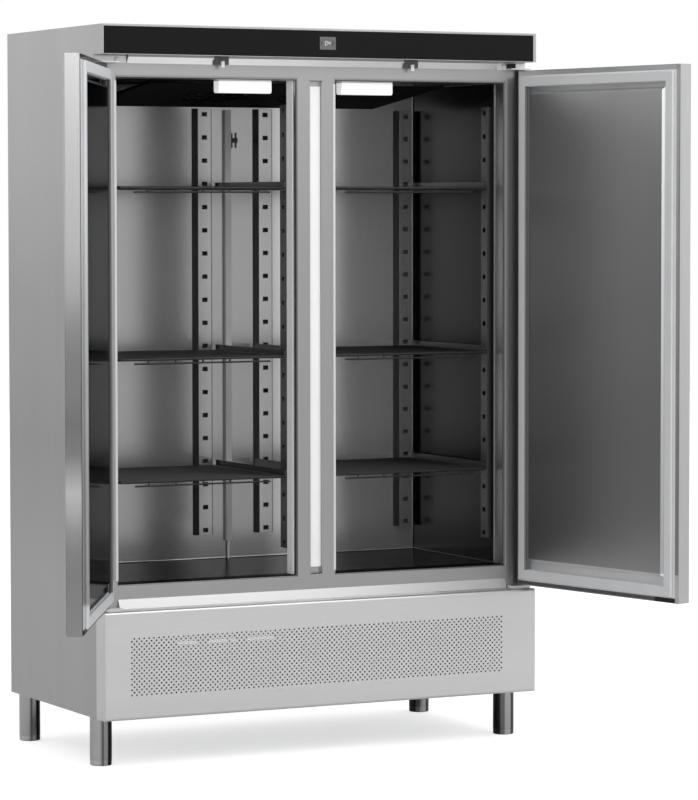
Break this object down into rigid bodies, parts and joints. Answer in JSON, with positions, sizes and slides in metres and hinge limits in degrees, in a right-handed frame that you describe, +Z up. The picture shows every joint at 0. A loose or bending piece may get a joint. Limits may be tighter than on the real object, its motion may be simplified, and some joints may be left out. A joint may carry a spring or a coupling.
{
  "type": "refrigerated cabinet",
  "caption": "Upright stainless refrigerated cabinet with a pair of hinged doors, wire shelves on slotted uprights, a controller in a dark top fascia and a perforated unit panel on legs.",
  "frame": {"origin": "on the floor, under the middle of the cabinet body", "axes": "+X to the right as seen from the front, +Y from the doors to the back, +Z up"},
  "size_m": [1.8529, 1.3233, 2.065],
  "materials": {
    "casing_steel": "brushed satin",
    "frame_steel": "brushed satin",
    "liner_steel": "fine brushed satin",
    "door_steel": "brushed satin",
    "door_lining": "fine brushed satin",
    "panel_steel": "brushed satin",
    "upright_steel": "satin",
    "shelf_wire": "smooth coated",
    "leg_steel": "polished",
    "foot_plastic": "matte",
    "gasket": "soft matte",
    "trim_plastic": "matte",
    "black_fascia": "glossy",
    "controller": "glossy",
    "key": "matte",
    "white_plastic": "matte",
    "lamp_diffuser": "opal",
    "foam": "closed cell foam",
    "galvanised": "galvanised",
    "copper": "drawn tube",
    "fin_aluminium": "bare",
    "black_enamel": "satin enamel",
    "blade_plastic": "matte",
    "cover_white": "satin",
    "box_grey": "matte"
  },
  "bodies": {
    "cabinet": {"back_panel": "galvanised", "base_tray": "galvanised", "cabinet_liner": "liner_steel", "compressor": "black_enamel", "condenser": "fin_aluminium", "condenser_fan_motor": "black_enamel", "control_fascia": "black_fascia", "control_housing": "casing_steel", "controller": "controller", "drain_tube": "trim_plastic", "electrical_box": "box_grey", "evaporation_tray": "galvanised", "evaporator_coil": "fin_aluminium", "evaporator_cover": "cover_white", "evaporator_fan_motors": "black_enamel", "front_frame": "frame_steel", "hinge_brackets": "upright_steel", "lamp_covers": "lamp_diffuser", "lamp_housings": "white_plastic", "legs": "leg_steel", "lower_panel": "panel_steel", "mullion": "frame_steel", "mullion_strip": "white_plastic", "mullion_trims": "trim_plastic", "rear_conduit": "trim_plastic", "refrigerant_lines": "copper", "roof_panel": "galvanised", "shelf_runners": "upright_steel", "shelf_uprights": "upright_steel", "side_panel_left": "casing_steel", "side_panel_right": "casing_steel", "switch_housings": "trim_plastic", "temperature_probe": "black_enamel", "wall_insulation": "foam"},
    "door_left": {"door_left_skin": "door_steel", "door_left_insulation": "foam", "door_left_inner_panel": "door_lining", "door_left_gasket": "gasket"},
    "sliding_shelf_left_top": {"shelf_left_top": "shelf_wire"},
    "sliding_shelf_left_middle": {"shelf_left_middle": "shelf_wire"},
    "sliding_shelf_left_bottom": {"shelf_left_bottom": "shelf_wire"},
    "plunger_left": {"switch_plunger_left": "white_plastic"},
    "key_left": {"controller_key_left": "key"},
    "ceiling_rotor_left": {"evaporator_blade_left": "blade_plastic"},
    "door_right": {"door_right_skin": "door_steel", "door_right_insulation": "foam", "door_right_inner_panel": "door_lining", "door_right_gasket": "gasket"},
    "sliding_shelf_right_top": {"shelf_right_top": "shelf_wire"},
    "sliding_shelf_right_middle": {"shelf_right_middle": "shelf_wire"},
    "sliding_shelf_right_bottom": {"shelf_right_bottom": "shelf_wire"},
    "plunger_right": {"switch_plunger_right": "white_plastic"},
    "key_right": {"controller_key_right": "key"},
    "ceiling_rotor_right": {"evaporator_blade_right": "blade_plastic"},
    "unit_rotor": {"condenser_fan_blade": "blade_plastic"},
    "screw_foot_front_left": {"foot_front_left": "foot_plastic"},
    "screw_foot_front_right": {"foot_front_right": "foot_plastic"},
    "screw_foot_rear_left": {"foot_rear_left": "foot_plastic"},
    "screw_foot_rear_right": {"foot_rear_right": "foot_plastic"}
  },
  "joints": [
    {"name": "door_left_hinge", "type": "hinge", "parent": "cabinet", "child": "door_left", "pos_m": [-0.669, -0.346, 1.203], "axis": [0, 0, -1], "range_deg": [-119.2, 0.8]},
    {"name": "door_right_hinge", "type": "hinge", "parent": "cabinet", "child": "door_right", "pos_m": [0.669, -0.346, 1.203], "axis": [0, 0, 1], "range_deg": [-101.5, 18.5]},
    {"name": "shelf_left_top_slide", "type": "slide", "parent": "cabinet", "child": "sliding_shelf_left_top", "axis": [0, -1, 0], "range_m": [0, 0.38]},
    {"name": "shelf_left_middle_slide", "type": "slide", "parent": "cabinet", "child": "sliding_shelf_left_middle", "axis": [0, -1, 0], "range_m": [0, 0.38]},
    {"name": "shelf_left_bottom_slide", "type": "slide", "parent": "cabinet", "child": "sliding_shelf_left_bottom", "axis": [0, -1, 0], "range_m": [0, 0.38]},
    {"name": "shelf_right_top_slide", "type": "slide", "parent": "cabinet", "child": "sliding_shelf_right_top", "axis": [0, -1, 0], "range_m": [0, 0.38]},
    {"name": "shelf_right_middle_slide", "type": "slide", "parent": "cabinet", "child": "sliding_shelf_right_middle", "axis": [0, -1, 0], "range_m": [0, 0.38]},
    {"name": "shelf_right_bottom_slide", "type": "slide", "parent": "cabinet", "child": "sliding_shelf_right_bottom", "axis": [0, -1, 0], "range_m": [0, 0.38]},
    {"name": "switch_left_slide", "type": "slide", "parent": "cabinet", "child": "plunger_left", "axis": [0, 1, 0], "range_m": [-0.0002, 0.0071]},
    {"name": "switch_right_slide", "type": "slide", "parent": "cabinet", "child": "plunger_right", "axis": [0, 1, 0], "range_m": [-0.0014, 0.0071]},
    {"name": "key_left_press", "type": "slide", "parent": "cabinet", "child": "key_left", "axis": [0, 1, 0], "range_m": [0, 0.0008], "stiffness_N_per_m": 300},
    {"name": "key_right_press", "type": "slide", "parent": "cabinet", "child": "key_right", "axis": [0, 1, 0], "range_m": [0, 0.0008], "stiffness_N_per_m": 300},
    {"name": "foot_front_left_screw", "type": "slide", "parent": "cabinet", "child": "screw_foot_front_left", "axis": [0, 0, -1], "range_m": [0, 0.025]},
    {"name": "foot_front_right_screw", "type": "slide", "parent": "cabinet", "child": "screw_foot_front_right", "axis": [0, 0, -1], "range_m": [0, 0.025]},
    {"name": "foot_rear_left_screw", "type": "slide", "parent": "cabinet", "child": "screw_foot_rear_left", "axis": [0, 0, -1], "range_m": [0, 0.025]},
    {"name": "foot_rear_right_screw", "type": "slide", "parent": "cabinet", "child": "screw_foot_rear_right", "axis": [0, 0, -1], "range_m": [0, 0.025]},
    {"name": "ceiling_fan_left_spin", "type": "hinge", "parent": "cabinet", "child": "ceiling_rotor_left", "pos_m": [-0.155, 0.02945, 1.89155], "axis": [0, 0.1145, 0.9934], "continuous": true},
    {"name": "ceiling_fan_right_spin", "type": "hinge", "parent": "cabinet", "child": "ceiling_rotor_right", "pos_m": [0.155, 0.02945, 1.89155], "axis": [0, 0.1145, 0.9934], "continuous": true},
    {"name": "unit_fan_spin", "type": "hinge", "parent": "cabinet", "child": "unit_rotor", "pos_m": [0.15, -0.195, 0.2545], "axis": [0, 1, 0], "continuous": true}
  ],
  "couplings": [
    {"joint": "switch_left_slide", "follows": "door_left_hinge", "m_per_rad": -0.0033647},
    {"joint": "switch_right_slide", "follows": "door_right_hinge", "m_per_rad": -0.0039514}
  ]
}
